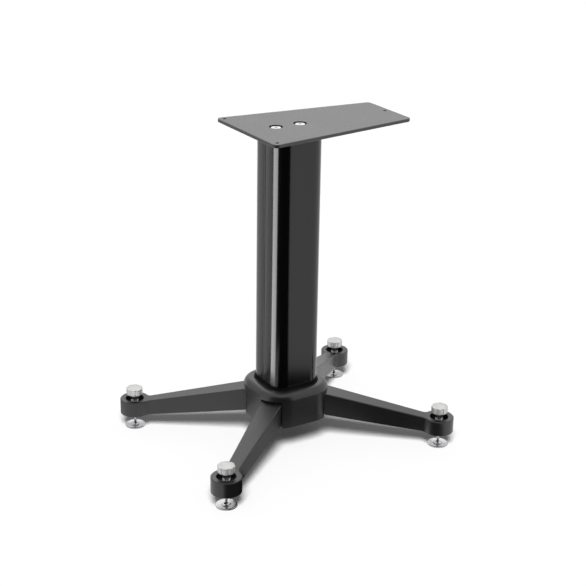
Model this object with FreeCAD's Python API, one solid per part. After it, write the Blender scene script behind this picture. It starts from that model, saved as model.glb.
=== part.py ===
import FreeCAD, Part

import math
import os

from FreeCAD import Vector

# Speaker stand, in millimetres. The origin is on the floor under the column's axis, +Z is up, and
# the front, where the plate is wide, looks along -Y.

# Top plate
STAND_HEIGHT = 600.0
PLATE_THICKNESS = 6.0
PLATE_FRONT_WIDTH = 203.0
PLATE_REAR_WIDTH = 132.5
PLATE_FRONT_REACH = 90.0
PLATE_REAR_REACH = 213.0
PLATE_CORNER_RADIUS = 9.0
PLATE_EDGE_BEVEL = 0.8
SPEAKER_HOLE_DIAMETER = 6.5
SPEAKER_HOLE_END_INSET = 11.0
SPEAKER_HOLE_SIDE_INSET = 12.5

# Plate bolts, flat headed, sunk in round recesses, their middle a little in front of the axis
PLATE_BOLT_SPACING = 49.0
PLATE_BOLT_MIDDLE = -3.0
PLATE_BOLT_LENGTH = 25.0
FLAT_HEAD_DIAMETER = 18.0
FLAT_HEAD_THICKNESS = 2.4
FLAT_HEAD_EDGE_RADIUS = 0.8
FLAT_HEAD_SOCKET = 5.0
FLAT_HEAD_SOCKET_DEPTH = 1.8
PLATE_RECESS_DIAMETER = 24.4
PLATE_RECESS_DEPTH = 3.6

# All the bolts have the same shank, and the hidden ones a deep socket head
BOLT_DIAMETER = 8.0
BOLT_TIP_BEVEL = 0.8
BOLT_CLEARANCE = 0.4
THREAD_CLEARANCE = 0.05
CAP_HEAD_DIAMETER = 13.0
CAP_HEAD_HEIGHT = 8.0
CAP_HEAD_BEVEL = 0.8
CAP_HEAD_SOCKET = 6.0
CAP_HEAD_SOCKET_DEPTH = 4.0
CAP_RECESS_CLEARANCE = 0.5

# Column extrusion: a box with a middle web that carries two screw ports
COLUMN_WIDTH = 93.0
COLUMN_DEPTH = 97.0
COLUMN_CORNER_RADIUS = 25.0
COLUMN_WALL = 4.0
COLUMN_WEB = 4.0
SCREW_PORT_DIAMETER = 17.0
GROOVE_WIDTH = 1.4
GROOVE_DEPTH = 1.8
GROOVE_LIP_RADIUS = 0.6

# The front and the rear each bulge in two flat lobes, one each side of their groove
LOBE_CREST_DISTANCE = 11.0
LOBE_FALL = 1.4
LOBE_RADIUS = 200.0

# Hub: a collar round the column's foot over a block with a notch and a slot for each leg
HUB_GROUND_CLEARANCE = 50.0
HUB_HEIGHT = 68.0
HUB_RIM = 21.5
HUB_CORNER_RADIUS = 46.0
HUB_SHOULDER_RADIUS = 14.0
HUB_FOOT_BEVEL = 1.2
COLUMN_SOCKET_DEPTH = 14.0
COLUMN_SOCKET_GAP = 2.8
COLUMN_SOCKET_BEVEL = 0.4
COLLAR_BAND_HEIGHT = 16.5
COLUMN_BOLT_LENGTH = 60.0
COLUMN_BOLT_REACH = 27.0

# Seal round the column's foot, standing proud of the hub
SEAL_CLEARANCE = 0.1
SEAL_RISE = 2.6
SEAL_EDGE_RADIUS = 0.8

# Legs: each has a tenon in the hub's slot and a root that fills the notch
FOOT_SPREAD_X = 352.0
FOOT_SPREAD_Y = 452.0
LEG_ROOT_DISTANCE = 66.0
LEG_ROOT_WIDTH = 40.5
LEG_TIP_WIDTH = 22.0
LEG_ROOT_LIFT = 6.5
LEG_ROOT_TOP_GAP = 1.2
LEG_ROOT_SIDE_GAP = 1.0
LEG_TIP_OVERLAP = 5.0
LEG_KNEE_RADIUS = 60.0
LEG_EDGE_BEVEL = 1.2
LEG_UNDERCUT_WALL = 5.0
LEG_UNDERCUT_ROOF = 8.0
LEG_UNDERCUT_ROOT_SOLID = 14.0
LEG_UNDERCUT_TIP_SOLID = 8.0
LEG_UNDERCUT_CORNER = 3.0
TENON_DISTANCE = 32.0
TENON_WIDTH = 34.0
TENON_HEIGHT = 38.0
TENON_FIT = 0.1
TENON_FOOT_RISE = 2.0
LEG_BOLT_SPACING = 16.0
LEG_BOLT_INSET = 9.0
LEG_BOLT_LENGTH = 40.0
LEG_BOLT_REACH = 11.0

# Pods at the ends of the legs
POD_GROUND_CLEARANCE = 29.0
POD_HEIGHT = 28.0
POD_DIAMETER = 54.4
POD_BLEND_RADIUS = 12.0
POD_RECESS_DIAMETER = 34.0
POD_RECESS_DEPTH = 10.0
POD_RECESS_BEVEL = 0.8
POD_LEDGE = 2.0

# Levelling feet: insert, spindle, knob and floor cup
INSERT_DIAMETER = 20.0
INSERT_BEVEL = 0.6
SPINDLE_DIAMETER = 14.0
SPINDLE_CLEARANCE = 0.05
SPINDLE_LEDGE_GAP = 0.8
NECK_DIAMETER = 15.2
NECK_EDGE_RADIUS = 0.5
LEVELLING_TRAVEL = 10.0
STOP_MARGIN = 0.2
SPIKE_ROOT_DIAMETER = 10.0
SPIKE_SHANK_DIAMETER = 4.6
SPIKE_FLARE_LENGTH = 6.0
SPIKE_POINT_DIAMETER = 1.0
SPIKE_POINT_LENGTH = 7.0
SPIKE_BLEND_RADIUS = 4.0
SPIKE_SEAT_GAP = 0.2
KNOB_DIAMETER = 30.4
KNOB_HEIGHT = 12.2
KNOB_GAP = 8.8
KNOB_BEVEL = 1.2
KNOB_STUD_DIAMETER = 9.0
KNOB_STUD_LENGTH = 8.0
KNOB_FLUTES = 8
KNOB_FLUTE_START = -14.0
KNOB_FLUTE_RADIUS = 2.6
KNOB_FLUTE_DEPTH = 1.2
CUP_DIAMETER = 38.0
CUP_THICKNESS = 4.2
CUP_RIM_THICKNESS = 3.2
CUP_RIM_RADIUS = 1.2
CUP_FOOT_BEVEL = 0.6
CUP_DISH_DEPTH = 0.8
CUP_BOSS_DIAMETER = 15.0
CUP_BOSS_BEVEL = 0.4
CUP_DIMPLE_DIAMETER = 9.0
CUP_DIMPLE_FLOOR = 1.8

CORNERS = {
    "front_left": (-1, -1),
    "front_right": (1, -1),
    "rear_left": (-1, 1),
    "rear_right": (1, 1),
}
FLAT = (Vector(1, 0, 0), Vector(0, 1, 0))
UPRIGHT = (Vector(1, 0, 0), Vector(0, 0, 1))
UP = Vector(0, 0, 1)
ORIGIN = Vector(0, 0, 0)
OVERCUT = 1.0
NEAR = 1e-4
TOP_FACE_SLOPE = 0.5

# Heights and distances that follow from the sizes above
plate_underside = STAND_HEIGHT - PLATE_THICKNESS
hub_top = HUB_GROUND_CLEARANCE + HUB_HEIGHT
column_foot = hub_top - COLUMN_SOCKET_DEPTH
notch_roof = hub_top - COLLAR_BAND_HEIGHT
tenon_foot = HUB_GROUND_CLEARANCE + TENON_FOOT_RISE
tenon_top = tenon_foot + TENON_HEIGHT
leg_root_top = notch_roof - LEG_ROOT_TOP_GAP
leg_root_foot = HUB_GROUND_CLEARANCE + LEG_ROOT_LIFT
foot_distance = math.hypot(FOOT_SPREAD_X, FOOT_SPREAD_Y) / 2
pod_top = POD_GROUND_CLEARANCE + POD_HEIGHT
pod_floor = pod_top - POD_RECESS_DEPTH
insert_foot = POD_GROUND_CLEARANCE + POD_LEDGE
knob_foot = pod_top + KNOB_GAP
neck_foot = pod_floor + LEVELLING_TRAVEL + STOP_MARGIN
leg_bolt_distances = (
    TENON_DISTANCE + LEG_BOLT_INSET,
    TENON_DISTANCE + LEG_BOLT_INSET + LEG_BOLT_SPACING,
)
leg_bolt_seat = tenon_top + LEG_BOLT_REACH - LEG_BOLT_LENGTH
column_bolt_seat = column_foot + COLUMN_BOLT_REACH - COLUMN_BOLT_LENGTH
column_bolt_places = (
    PLATE_BOLT_MIDDLE - PLATE_BOLT_SPACING / 2,
    PLATE_BOLT_MIDDLE + PLATE_BOLT_SPACING / 2,
)


def rounded_wire(corners, plane):
    """Closed wire through corners (u, v, radius) on a plane that is given by two unit vectors."""
    points = [plane[0] * u + plane[1] * v for u, v, radius in corners]
    bends = []
    for index, corner in enumerate(corners):
        here = points[index]
        back = (points[index - 1] - here).normalize()
        ahead = (points[(index + 1) % len(points)] - here).normalize()
        half_angle = back.getAngle(ahead) / 2
        radius = corner[2]
        trim = radius / math.tan(half_angle)
        rise = radius / math.sin(half_angle) - radius
        middle = here + (back + ahead).normalize() * rise
        bends.append((here + back * trim, middle, here + ahead * trim))
    edges = []
    for index, (start, middle, end) in enumerate(bends):
        following = bends[(index + 1) % len(bends)][0]
        if start.distanceToPoint(end) > NEAR:
            edges.append(Part.Arc(start, middle, end).toShape())
        if end.distanceToPoint(following) > NEAR:
            edges.append(Part.LineSegment(end, following).toShape())
    return Part.Wire(edges)


def prism(corners, bottom, top):
    """Upright solid over a rounded outline."""
    face = Part.Face(rounded_wire(corners, FLAT))
    face.translate(UP * bottom)
    return face.extrude(UP * (top - bottom))


def turned(corners):
    """Solid of revolution about Z from a rounded outline of (radius, height, corner radius)."""
    face = Part.Face(rounded_wire(corners, UPRIGHT))
    return face.revolve(ORIGIN, UP, 360)


def cylinder(diameter, bottom, top, x=0.0, y=0.0):
    return Part.makeCylinder(diameter / 2, top - bottom, Vector(x, y, bottom))


def beam(start, end, width, bottom, top):
    """Box along +X, centred on the X axis."""
    return Part.makeBox(end - start, width, top - bottom, Vector(start, -width / 2, bottom))


def rectangle(width, depth, radius):
    """Corners of a rectangle about the origin, all with one radius."""
    half_x = width / 2
    half_y = depth / 2
    return [
        (-half_x, -half_y, radius),
        (half_x, -half_y, radius),
        (half_x, half_y, radius),
        (-half_x, half_y, radius),
    ]


def round_column(gap):
    """Corners of the column's plain outline, offset outwards by a gap."""
    return rectangle(
        COLUMN_WIDTH + 2 * gap,
        COLUMN_DEPTH + 2 * gap,
        COLUMN_CORNER_RADIUS + gap,
    )


def hexagon(across_flats, bottom, top):
    corner_distance = across_flats / 2 / math.cos(math.pi / 6)
    corners = []
    for step in range(6):
        angle = step * math.pi / 3
        corners.append((corner_distance * math.cos(angle), corner_distance * math.sin(angle), 0.0))
    return prism(corners, bottom, top)


def level_edges(shape, height):
    """Edges that lie wholly at one height."""
    found = []
    for edge in shape.Edges:
        box = edge.BoundBox
        if abs(box.ZMin - height) < NEAR and abs(box.ZMax - height) < NEAR:
            found.append(edge)
    return found


def moved(shape, x, y, z=0.0):
    copy = shape.copy()
    copy.translate(Vector(x, y, z))
    return copy


def leg_angle(side, end):
    return math.degrees(math.atan2(end * FOOT_SPREAD_Y, side * FOOT_SPREAD_X))


def turned_to(shape, side, end):
    """A shape built along +X, turned about Z to the corner's diagonal."""
    copy = shape.copy()
    copy.rotate(ORIGIN, UP, leg_angle(side, end))
    return copy


def foot_place(side, end):
    return side * FOOT_SPREAD_X / 2, end * FOOT_SPREAD_Y / 2


def make_flat_bolt():
    """Flat-headed bolt, pointing down, with its head's underside at height 0."""
    head_radius = FLAT_HEAD_DIAMETER / 2
    shank_radius = BOLT_DIAMETER / 2
    bolt = turned([
        (0.0, -PLATE_BOLT_LENGTH, 0.0),
        (shank_radius - BOLT_TIP_BEVEL, -PLATE_BOLT_LENGTH, 0.0),
        (shank_radius, BOLT_TIP_BEVEL - PLATE_BOLT_LENGTH, 0.0),
        (shank_radius, 0.0, 0.0),
        (head_radius, 0.0, 0.0),
        (head_radius, FLAT_HEAD_THICKNESS, FLAT_HEAD_EDGE_RADIUS),
        (0.0, FLAT_HEAD_THICKNESS, 0.0),
    ])
    socket_floor = FLAT_HEAD_THICKNESS - FLAT_HEAD_SOCKET_DEPTH
    return bolt.cut(hexagon(FLAT_HEAD_SOCKET, socket_floor, FLAT_HEAD_THICKNESS + OVERCUT))


def make_cap_bolt(length):
    """Socket-headed bolt, pointing up, with its head's seat at height 0."""
    head_radius = CAP_HEAD_DIAMETER / 2
    shank_radius = BOLT_DIAMETER / 2
    bolt = turned([
        (0.0, -CAP_HEAD_HEIGHT, 0.0),
        (head_radius - CAP_HEAD_BEVEL, -CAP_HEAD_HEIGHT, 0.0),
        (head_radius, CAP_HEAD_BEVEL - CAP_HEAD_HEIGHT, 0.0),
        (head_radius, 0.0, 0.0),
        (shank_radius, 0.0, 0.0),
        (shank_radius, length - BOLT_TIP_BEVEL, 0.0),
        (shank_radius - BOLT_TIP_BEVEL, length, 0.0),
        (0.0, length, 0.0),
    ])
    socket_roof = CAP_HEAD_SOCKET_DEPTH - CAP_HEAD_HEIGHT
    return bolt.cut(hexagon(CAP_HEAD_SOCKET, -CAP_HEAD_HEIGHT - OVERCUT, socket_roof))


def make_top_plate():
    plate = prism(
        [
            (-PLATE_FRONT_WIDTH / 2, -PLATE_FRONT_REACH, PLATE_CORNER_RADIUS),
            (PLATE_FRONT_WIDTH / 2, -PLATE_FRONT_REACH, PLATE_CORNER_RADIUS),
            (PLATE_REAR_WIDTH / 2, PLATE_REAR_REACH, PLATE_CORNER_RADIUS),
            (-PLATE_REAR_WIDTH / 2, PLATE_REAR_REACH, PLATE_CORNER_RADIUS),
        ],
        plate_underside,
        STAND_HEIGHT,
    )
    rims = level_edges(plate, STAND_HEIGHT) + level_edges(plate, plate_underside)
    plate = plate.makeChamfer(PLATE_EDGE_BEVEL, rims)
    front_hole_x = PLATE_FRONT_WIDTH / 2 - SPEAKER_HOLE_SIDE_INSET
    front_hole_y = SPEAKER_HOLE_END_INSET - PLATE_FRONT_REACH
    rear_hole_y = PLATE_REAR_REACH - SPEAKER_HOLE_END_INSET
    holes = []
    for x, y in ((-front_hole_x, front_hole_y), (front_hole_x, front_hole_y), (0.0, rear_hole_y)):
        holes.append(
            cylinder(SPEAKER_HOLE_DIAMETER, plate_underside - OVERCUT, STAND_HEIGHT + OVERCUT, x, y)
        )
    shank_hole = BOLT_DIAMETER + 2 * BOLT_CLEARANCE
    recess_floor = STAND_HEIGHT - PLATE_RECESS_DEPTH
    for y in column_bolt_places:
        holes.append(cylinder(shank_hole, plate_underside - OVERCUT, STAND_HEIGHT, 0.0, y))
        holes.append(
            cylinder(PLATE_RECESS_DIAMETER, recess_floor, STAND_HEIGHT + OVERCUT, 0.0, y)
        )
    return plate.cut(holes)


def make_plate_bolts():
    seat = STAND_HEIGHT - PLATE_RECESS_DEPTH
    return [moved(make_flat_bolt(), 0.0, y, seat) for y in column_bolt_places]


def make_column():
    half_x = COLUMN_WIDTH / 2
    half_y = COLUMN_DEPTH / 2
    half_groove = GROOVE_WIDTH / 2
    fall_per_length = LOBE_FALL / (half_x - LOBE_CREST_DISTANCE)
    lip_y = -half_y + fall_per_length * (LOBE_CREST_DISTANCE - half_groove)
    front_right = [
        (half_groove, GROOVE_DEPTH - half_y, 0.0),
        (half_groove, lip_y, GROOVE_LIP_RADIUS),
        (LOBE_CREST_DISTANCE, -half_y, LOBE_RADIUS),
        (half_x, LOBE_FALL - half_y, COLUMN_CORNER_RADIUS),
    ]
    front = [(-x, y, radius) for x, y, radius in reversed(front_right)] + front_right
    rear = [(-x, -y, radius) for x, y, radius in front]
    shell = prism(front + rear, column_foot, plate_underside)
    inside = prism(round_column(-COLUMN_WALL), column_foot, plate_underside)
    core = Part.makeBox(
        COLUMN_WEB,
        COLUMN_DEPTH - 2 * COLUMN_WALL,
        plate_underside - column_foot,
        Vector(-COLUMN_WEB / 2, COLUMN_WALL - half_y, column_foot),
    )
    bores = []
    for y in column_bolt_places:
        core = core.fuse(cylinder(SCREW_PORT_DIAMETER, column_foot, plate_underside, 0.0, y))
        bores.append(
            cylinder(
                BOLT_DIAMETER + 2 * THREAD_CLEARANCE,
                column_foot - OVERCUT,
                plate_underside + OVERCUT,
                0.0,
                y,
            )
        )
    return shell.cut(inside.cut(core)).cut(bores).removeSplitter()


def make_hub():
    width = COLUMN_WIDTH + 2 * HUB_RIM
    depth = COLUMN_DEPTH + 2 * HUB_RIM
    hub = prism(rectangle(width, depth, HUB_CORNER_RADIUS), HUB_GROUND_CLEARANCE, hub_top)
    hub = hub.makeFillet(HUB_SHOULDER_RADIUS, level_edges(hub, hub_top))
    hub = hub.makeChamfer(HUB_FOOT_BEVEL, level_edges(hub, HUB_GROUND_CLEARANCE))
    hub = hub.cut(prism(round_column(COLUMN_SOCKET_GAP), column_foot, hub_top + OVERCUT))
    hub = hub.makeChamfer(COLUMN_SOCKET_BEVEL, inner_edges(hub, hub_top))
    notch = beam(
        LEG_ROOT_DISTANCE,
        width + depth,
        LEG_ROOT_WIDTH + 2 * LEG_ROOT_SIDE_GAP,
        HUB_GROUND_CLEARANCE - OVERCUT,
        notch_roof,
    )
    slot = beam(
        TENON_DISTANCE - TENON_FIT,
        LEG_ROOT_DISTANCE + OVERCUT,
        TENON_WIDTH + 2 * TENON_FIT,
        HUB_GROUND_CLEARANCE - OVERCUT,
        tenon_top,
    )
    socket_cuts = [notch, slot]
    for distance in leg_bolt_distances:
        socket_cuts.append(
            cylinder(
                BOLT_DIAMETER + 2 * THREAD_CLEARANCE,
                tenon_top - OVERCUT,
                tenon_top + LEG_BOLT_REACH + STOP_MARGIN,
                distance,
            )
        )
    cuts = []
    for side, end in CORNERS.values():
        cuts.extend(turned_to(shape, side, end) for shape in socket_cuts)
    for y in column_bolt_places:
        cuts.append(
            cylinder(
                BOLT_DIAMETER + 2 * BOLT_CLEARANCE,
                HUB_GROUND_CLEARANCE,
                column_foot + OVERCUT,
                0.0,
                y,
            )
        )
        cuts.append(
            cylinder(
                CAP_HEAD_DIAMETER + 2 * CAP_RECESS_CLEARANCE,
                HUB_GROUND_CLEARANCE - OVERCUT,
                column_bolt_seat,
                0.0,
                y,
            )
        )
    return hub.cut(cuts)


def make_column_seal():
    """Soft ring that fills the gap between the column and the hub's socket."""
    top = hub_top + SEAL_RISE
    seal = prism(round_column(COLUMN_SOCKET_GAP - SEAL_CLEARANCE), column_foot, top)
    seal = seal.makeFillet(SEAL_EDGE_RADIUS, level_edges(seal, top))
    return seal.cut(prism(round_column(SEAL_CLEARANCE), column_foot - OVERCUT, top + OVERCUT))


def inner_edges(shape, height):
    """Edges of the smallest closed outline at one height."""
    loops = Part.sortEdges(level_edges(shape, height))
    return min(loops, key=lambda loop: sum(edge.Length for edge in loop))


def make_column_bolts():
    bolt = make_cap_bolt(COLUMN_BOLT_LENGTH)
    return [moved(bolt, 0.0, y, column_bolt_seat) for y in column_bolt_places]


def make_arm_and_pod():
    """Tapered arm and round pod along +X, cut to their sloping side view."""
    knee_distance = foot_distance - POD_DIAMETER / 2 + LEG_TIP_OVERLAP
    tallest = max(leg_root_top, pod_top)
    arm = prism(
        [
            (LEG_ROOT_DISTANCE, -LEG_ROOT_WIDTH / 2, 0.0),
            (foot_distance, -LEG_TIP_WIDTH / 2, 0.0),
            (foot_distance, LEG_TIP_WIDTH / 2, 0.0),
            (LEG_ROOT_DISTANCE, LEG_ROOT_WIDTH / 2, 0.0),
        ],
        POD_GROUND_CLEARANCE,
        tallest,
    )
    pod = cylinder(POD_DIAMETER, POD_GROUND_CLEARANCE, tallest, foot_distance)
    plan = arm.fuse(pod).removeSplitter()
    plan = plan.makeFillet(POD_BLEND_RADIUS, pod_joint_edges(plan))
    far_end = foot_distance + POD_DIAMETER
    side_view = Part.Face(rounded_wire(
        [
            (LEG_ROOT_DISTANCE, leg_root_foot, 0.0),
            (knee_distance, POD_GROUND_CLEARANCE, LEG_KNEE_RADIUS),
            (far_end, POD_GROUND_CLEARANCE, 0.0),
            (far_end, pod_top, 0.0),
            (knee_distance, pod_top, LEG_KNEE_RADIUS),
            (LEG_ROOT_DISTANCE, leg_root_top, 0.0),
        ],
        UPRIGHT,
    ))
    side_view.translate(Vector(0, -POD_DIAMETER, 0))
    return plan.common(side_view.extrude(Vector(0, 2 * POD_DIAMETER, 0)))


def make_undercut():
    """The channel that lightens a leg from below, under a roof that follows its upper face."""
    pod_edge = foot_distance - POD_DIAMETER / 2
    start = LEG_ROOT_DISTANCE + LEG_UNDERCUT_ROOT_SOLID
    end = pod_edge - LEG_UNDERCUT_TIP_SOLID
    slope = (pod_top - leg_root_top) / (pod_edge + LEG_TIP_OVERLAP - LEG_ROOT_DISTANCE)
    taper = (LEG_TIP_WIDTH - LEG_ROOT_WIDTH) / (foot_distance - LEG_ROOT_DISTANCE)
    outline = []
    roof = []
    for distance in (start, end):
        run = distance - LEG_ROOT_DISTANCE
        outline.append((distance, (LEG_ROOT_WIDTH + taper * run) / 2 - LEG_UNDERCUT_WALL))
        roof.append((distance, leg_root_top + slope * run - LEG_UNDERCUT_ROOF, 0.0))
    plan = prism(
        [
            (start, -outline[0][1], LEG_UNDERCUT_CORNER),
            (end, -outline[1][1], LEG_UNDERCUT_CORNER),
            (end, outline[1][1], LEG_UNDERCUT_CORNER),
            (start, outline[0][1], LEG_UNDERCUT_CORNER),
        ],
        POD_GROUND_CLEARANCE - OVERCUT,
        leg_root_top,
    )
    floor = POD_GROUND_CLEARANCE - OVERCUT
    side_view = Part.Face(
        rounded_wire([(start, floor, 0.0), (end, floor, 0.0), roof[1], roof[0]], UPRIGHT)
    )
    side_view.translate(Vector(0, -LEG_ROOT_WIDTH, 0))
    return plan.common(side_view.extrude(Vector(0, 2 * LEG_ROOT_WIDTH, 0)))


def top_edges(leg):
    """Edges round the leg's upper face, apart from the one at its root."""
    found = []
    for face in leg.Faces:
        if upward_slope(face) < TOP_FACE_SLOPE:
            continue
        for edge in face.Edges:
            sides = leg.ancestorsOfType(edge, Part.Face)
            found.extend(edge for side in sides if is_wall(side) and not is_root(edge))
    return found


def upward_slope(face):
    """Upward part of a face's unit normal at the middle of the face."""
    u_low, u_high, v_low, v_high = face.ParameterRange
    return face.normalAt((u_low + u_high) / 2, (v_low + v_high) / 2).z


def is_wall(face):
    return abs(upward_slope(face)) < NEAR


def is_root(edge):
    return edge.BoundBox.XMax < LEG_ROOT_DISTANCE + NEAR


def make_pod_recess():
    """Round recess in the pod's top, with a bevelled mouth."""
    radius = POD_RECESS_DIAMETER / 2
    mouth = radius + POD_RECESS_BEVEL + OVERCUT
    return moved(
        turned([
            (0.0, pod_floor, 0.0),
            (radius, pod_floor, 0.0),
            (radius, pod_top - POD_RECESS_BEVEL, 0.0),
            (mouth, pod_top + OVERCUT, 0.0),
            (0.0, pod_top + OVERCUT, 0.0),
        ]),
        foot_distance,
        0.0,
    )


def make_leg():
    """Leg along +X, with a tenon for the hub's slot and a bored recess in its pod."""
    leg = make_arm_and_pod()
    leg = leg.makeChamfer(LEG_EDGE_BEVEL, top_edges(leg))
    tenon = beam(TENON_DISTANCE, LEG_ROOT_DISTANCE, TENON_WIDTH, tenon_foot, tenon_top)
    cuts = [
        make_undercut(),
        make_pod_recess(),
        cylinder(INSERT_DIAMETER, insert_foot, pod_top, foot_distance),
        cylinder(
            SPINDLE_DIAMETER + 2 * SPINDLE_LEDGE_GAP,
            POD_GROUND_CLEARANCE - OVERCUT,
            pod_top,
            foot_distance,
        ),
    ]
    for distance in leg_bolt_distances:
        cuts.append(
            cylinder(
                CAP_HEAD_DIAMETER + 2 * CAP_RECESS_CLEARANCE,
                tenon_foot - OVERCUT,
                leg_bolt_seat,
                distance,
            )
        )
        cuts.append(
            cylinder(
                BOLT_DIAMETER + 2 * BOLT_CLEARANCE,
                tenon_foot,
                tenon_top + OVERCUT,
                distance,
            )
        )
    return leg.fuse(tenon).removeSplitter().cut(cuts)


def make_leg_bolts():
    bolt = make_cap_bolt(LEG_BOLT_LENGTH)
    bolts = []
    for side, end in CORNERS.values():
        for distance in leg_bolt_distances:
            bolts.append(turned_to(moved(bolt, distance, 0.0, leg_bolt_seat), side, end))
    return bolts


def make_insert():
    """Threaded insert, pressed down on the ledge under the pod's recess."""
    insert = cylinder(INSERT_DIAMETER, insert_foot, pod_floor)
    insert = insert.makeChamfer(INSERT_BEVEL, level_edges(insert, pod_floor))
    return insert.cut(
        cylinder(
            SPINDLE_DIAMETER + 2 * SPINDLE_CLEARANCE,
            insert_foot - OVERCUT,
            pod_floor + OVERCUT,
        )
    )


def make_spindle():
    """Neck, threaded rod and spike in one turned piece."""
    point = CUP_DIMPLE_FLOOR + SPIKE_SEAT_GAP
    flare_foot = POD_GROUND_CLEARANCE - SPIKE_FLARE_LENGTH
    rod_radius = SPINDLE_DIAMETER / 2
    return turned([
        (0.0, point, 0.0),
        (SPIKE_POINT_DIAMETER / 2, point, 0.0),
        (SPIKE_SHANK_DIAMETER / 2, point + SPIKE_POINT_LENGTH, SPIKE_BLEND_RADIUS),
        (SPIKE_SHANK_DIAMETER / 2, flare_foot, SPIKE_BLEND_RADIUS),
        (SPIKE_ROOT_DIAMETER / 2, POD_GROUND_CLEARANCE, 0.0),
        (rod_radius, POD_GROUND_CLEARANCE + rod_radius - SPIKE_ROOT_DIAMETER / 2, 0.0),
        (rod_radius, neck_foot, 0.0),
        (NECK_DIAMETER / 2, neck_foot, NECK_EDGE_RADIUS),
        (NECK_DIAMETER / 2, knob_foot, 0.0),
        (KNOB_STUD_DIAMETER / 2, knob_foot, 0.0),
        (KNOB_STUD_DIAMETER / 2, knob_foot + KNOB_STUD_LENGTH, 0.0),
        (0.0, knob_foot + KNOB_STUD_LENGTH, 0.0),
    ])


def make_knob():
    radius = KNOB_DIAMETER / 2
    knob_top = knob_foot + KNOB_HEIGHT
    knob = turned([
        (0.0, knob_foot, 0.0),
        (radius - KNOB_BEVEL, knob_foot, 0.0),
        (radius, knob_foot + KNOB_BEVEL, 0.0),
        (radius, knob_top - KNOB_BEVEL, 0.0),
        (radius - KNOB_BEVEL, knob_top, 0.0),
        (0.0, knob_top, 0.0),
    ])
    cuts = [
        cylinder(
            KNOB_STUD_DIAMETER + 2 * THREAD_CLEARANCE,
            knob_foot - OVERCUT,
            knob_foot + KNOB_STUD_LENGTH + STOP_MARGIN,
        )
    ]
    flute_distance = radius - KNOB_FLUTE_DEPTH + KNOB_FLUTE_RADIUS
    for step in range(KNOB_FLUTES):
        angle = math.radians(KNOB_FLUTE_START + 360 * step / KNOB_FLUTES)
        cuts.append(
            cylinder(
                2 * KNOB_FLUTE_RADIUS,
                knob_foot - OVERCUT,
                knob_top + OVERCUT,
                flute_distance * math.cos(angle),
                flute_distance * math.sin(angle),
            )
        )
    return knob.cut(cuts)


def make_cup():
    """Floor disc with a raised boss and a dimple for the spike's point."""
    radius = CUP_DIAMETER / 2
    boss_radius = CUP_BOSS_DIAMETER / 2
    dimple_radius = CUP_DIMPLE_DIAMETER / 2
    return turned([
        (0.0, 0.0, 0.0),
        (radius - CUP_FOOT_BEVEL, 0.0, 0.0),
        (radius, CUP_FOOT_BEVEL, 0.0),
        (radius, CUP_RIM_THICKNESS, CUP_RIM_RADIUS),
        (boss_radius + CUP_DISH_DEPTH, CUP_RIM_THICKNESS - CUP_DISH_DEPTH, 0.0),
        (boss_radius, CUP_THICKNESS - CUP_BOSS_BEVEL, 0.0),
        (boss_radius - CUP_BOSS_BEVEL, CUP_THICKNESS, 0.0),
        (dimple_radius, CUP_THICKNESS, 0.0),
        (SPIKE_POINT_DIAMETER / 2, CUP_DIMPLE_FLOOR, 0.0),
        (0.0, CUP_DIMPLE_FLOOR, 0.0),
    ])


def pod_joint_edges(plan):
    """Upright edges where the arm's sides run into the pod."""
    found = []
    for edge in plan.Edges:
        box = edge.BoundBox
        upright = box.XLength < NEAR and box.YLength < NEAR
        distance = math.hypot(box.Center.x - foot_distance, box.Center.y)
        if upright and box.Center.x < foot_distance and abs(distance - POD_DIAMETER / 2) < NEAR:
            found.append(edge)
    return found


def write_node(name, solids):
    Part.makeCompound(solids).exportStep(os.path.join("parts", name + ".step"))


def main():
    os.makedirs("parts", exist_ok=True)
    write_node("top_plate", [make_top_plate()])
    write_node("plate_bolts", make_plate_bolts())
    write_node("column", [make_column()])
    write_node("hub", [make_hub()])
    write_node("column_seal", [make_column_seal()])
    write_node("column_bolts", make_column_bolts())
    write_node("leg_bolts", make_leg_bolts())
    leg = make_leg()
    foot_pieces = {
        "foot_insert": make_insert(),
        "spindle": make_spindle(),
        "knob": make_knob(),
        "spike_cup": make_cup(),
    }
    for name, (side, end) in CORNERS.items():
        x, y = foot_place(side, end)
        write_node("leg_" + name, [turned_to(leg, side, end)])
        for piece, shape in foot_pieces.items():
            write_node(piece + "_" + name, [moved(shape, x, y)])


main()
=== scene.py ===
"""Looks of the speaker stand: finishes, turned pieces, studio and camera round the fixed model."""

import math

import bpy
from bpy.props import FloatProperty, FloatVectorProperty, IntProperty, PointerProperty
from mathutils import Matrix, Vector


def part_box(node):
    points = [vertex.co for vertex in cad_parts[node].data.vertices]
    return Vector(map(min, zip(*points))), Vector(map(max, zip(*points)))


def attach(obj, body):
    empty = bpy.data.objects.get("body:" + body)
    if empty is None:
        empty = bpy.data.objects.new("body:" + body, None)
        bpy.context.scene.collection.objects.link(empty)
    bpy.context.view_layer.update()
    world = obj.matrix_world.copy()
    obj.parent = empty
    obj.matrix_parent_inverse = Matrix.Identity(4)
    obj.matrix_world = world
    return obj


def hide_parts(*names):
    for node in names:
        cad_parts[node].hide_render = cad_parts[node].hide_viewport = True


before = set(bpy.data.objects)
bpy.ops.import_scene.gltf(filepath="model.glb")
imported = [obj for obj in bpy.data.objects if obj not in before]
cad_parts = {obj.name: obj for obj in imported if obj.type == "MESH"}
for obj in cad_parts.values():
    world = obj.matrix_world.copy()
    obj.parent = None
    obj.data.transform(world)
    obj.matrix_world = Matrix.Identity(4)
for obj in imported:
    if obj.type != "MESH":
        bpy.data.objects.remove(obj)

bl_info = {
    "name": "Speaker Stand",
    "version": (1, 0, 0),
    "blender": (4, 5, 0),
    "location": "3D View > Sidebar > Stand",
    "description": "Dresses the speaker stand and sets up its studio",
    "category": "Object",
}

CORNERS = ("front_left", "front_right", "rear_left", "rear_right")
MM = 0.001  # metres

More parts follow.
